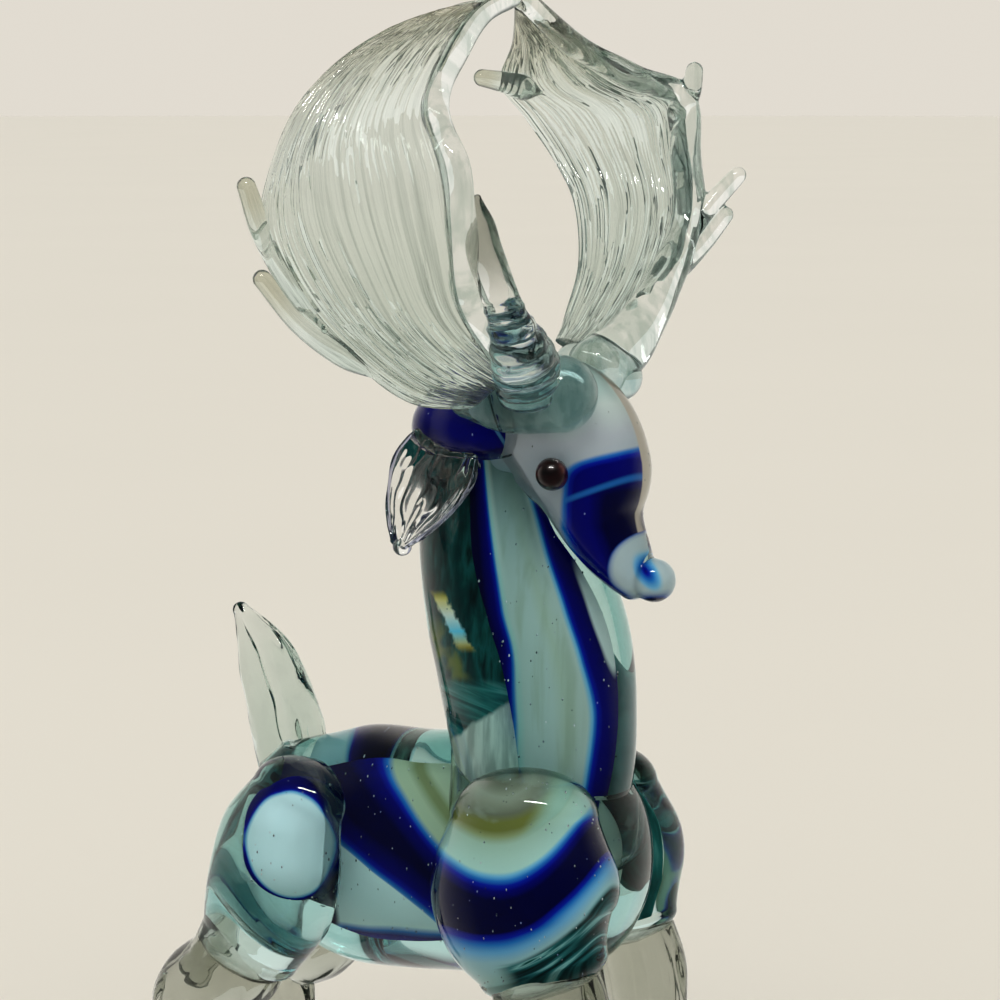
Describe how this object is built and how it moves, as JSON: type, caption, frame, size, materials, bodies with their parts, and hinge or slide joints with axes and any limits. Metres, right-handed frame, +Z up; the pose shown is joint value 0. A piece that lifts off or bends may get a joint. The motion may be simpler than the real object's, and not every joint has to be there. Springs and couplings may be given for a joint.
{
  "type": "glass deer figurine",
  "caption": "Standing lampworked glass deer: coloured cores cased in clear and aqua glass, bowed head, upright tail and broad cupped antlers ribbed like leaves.",
  "frame": {"origin": "on the ground, under the middle of the whole deer's bounding box", "axes": "+X the way the deer faces, +Y to its left, +Z up"},
  "size_m": [0.0898, 0.0872, 0.1915],
  "materials": {
    "aqua_casing": "smooth fire-polished pale aqua glass",
    "clear_glass": "smooth fire-polished clear glass, ribbed on the antlers",
    "cobalt_core": "opaque cobalt blue glass swirled with white and olive",
    "milk_core": "opaque milky white glass edged with cobalt blue",
    "dark_eye": "glossy dark brown glass bead"
  },
  "bodies": {
    "root": {"torso_core": "cobalt_core", "torso_casing": "aqua_casing", "neck_core": "milk_core", "neck_casing": "aqua_casing", "crown_core": "cobalt_core", "crown_casing": "aqua_casing", "head_core": "milk_core", "head_casing": "clear_glass", "right_eye": "dark_eye", "left_eye": "dark_eye", "right_shoulder_core": "cobalt_core", "right_shoulder_casing": "aqua_casing", "left_shoulder_core": "cobalt_core", "left_shoulder_casing": "aqua_casing", "right_haunch_core": "milk_core", "right_haunch_casing": "aqua_casing", "left_haunch_core": "milk_core", "left_haunch_casing": "aqua_casing", "right_foreleg": "clear_glass", "left_foreleg": "clear_glass", "right_hindleg": "clear_glass", "left_hindleg": "clear_glass", "tail": "clear_glass", "right_ear": "clear_glass", "left_ear": "clear_glass", "right_antler_root": "aqua_casing", "left_antler_root": "aqua_casing", "right_brow_tine": "clear_glass", "right_antler_beam": "clear_glass", "left_antler_beam": "clear_glass", "right_antler_palm": "clear_glass", "left_antler_palm": "clear_glass"}
  },
  "joints": []
}
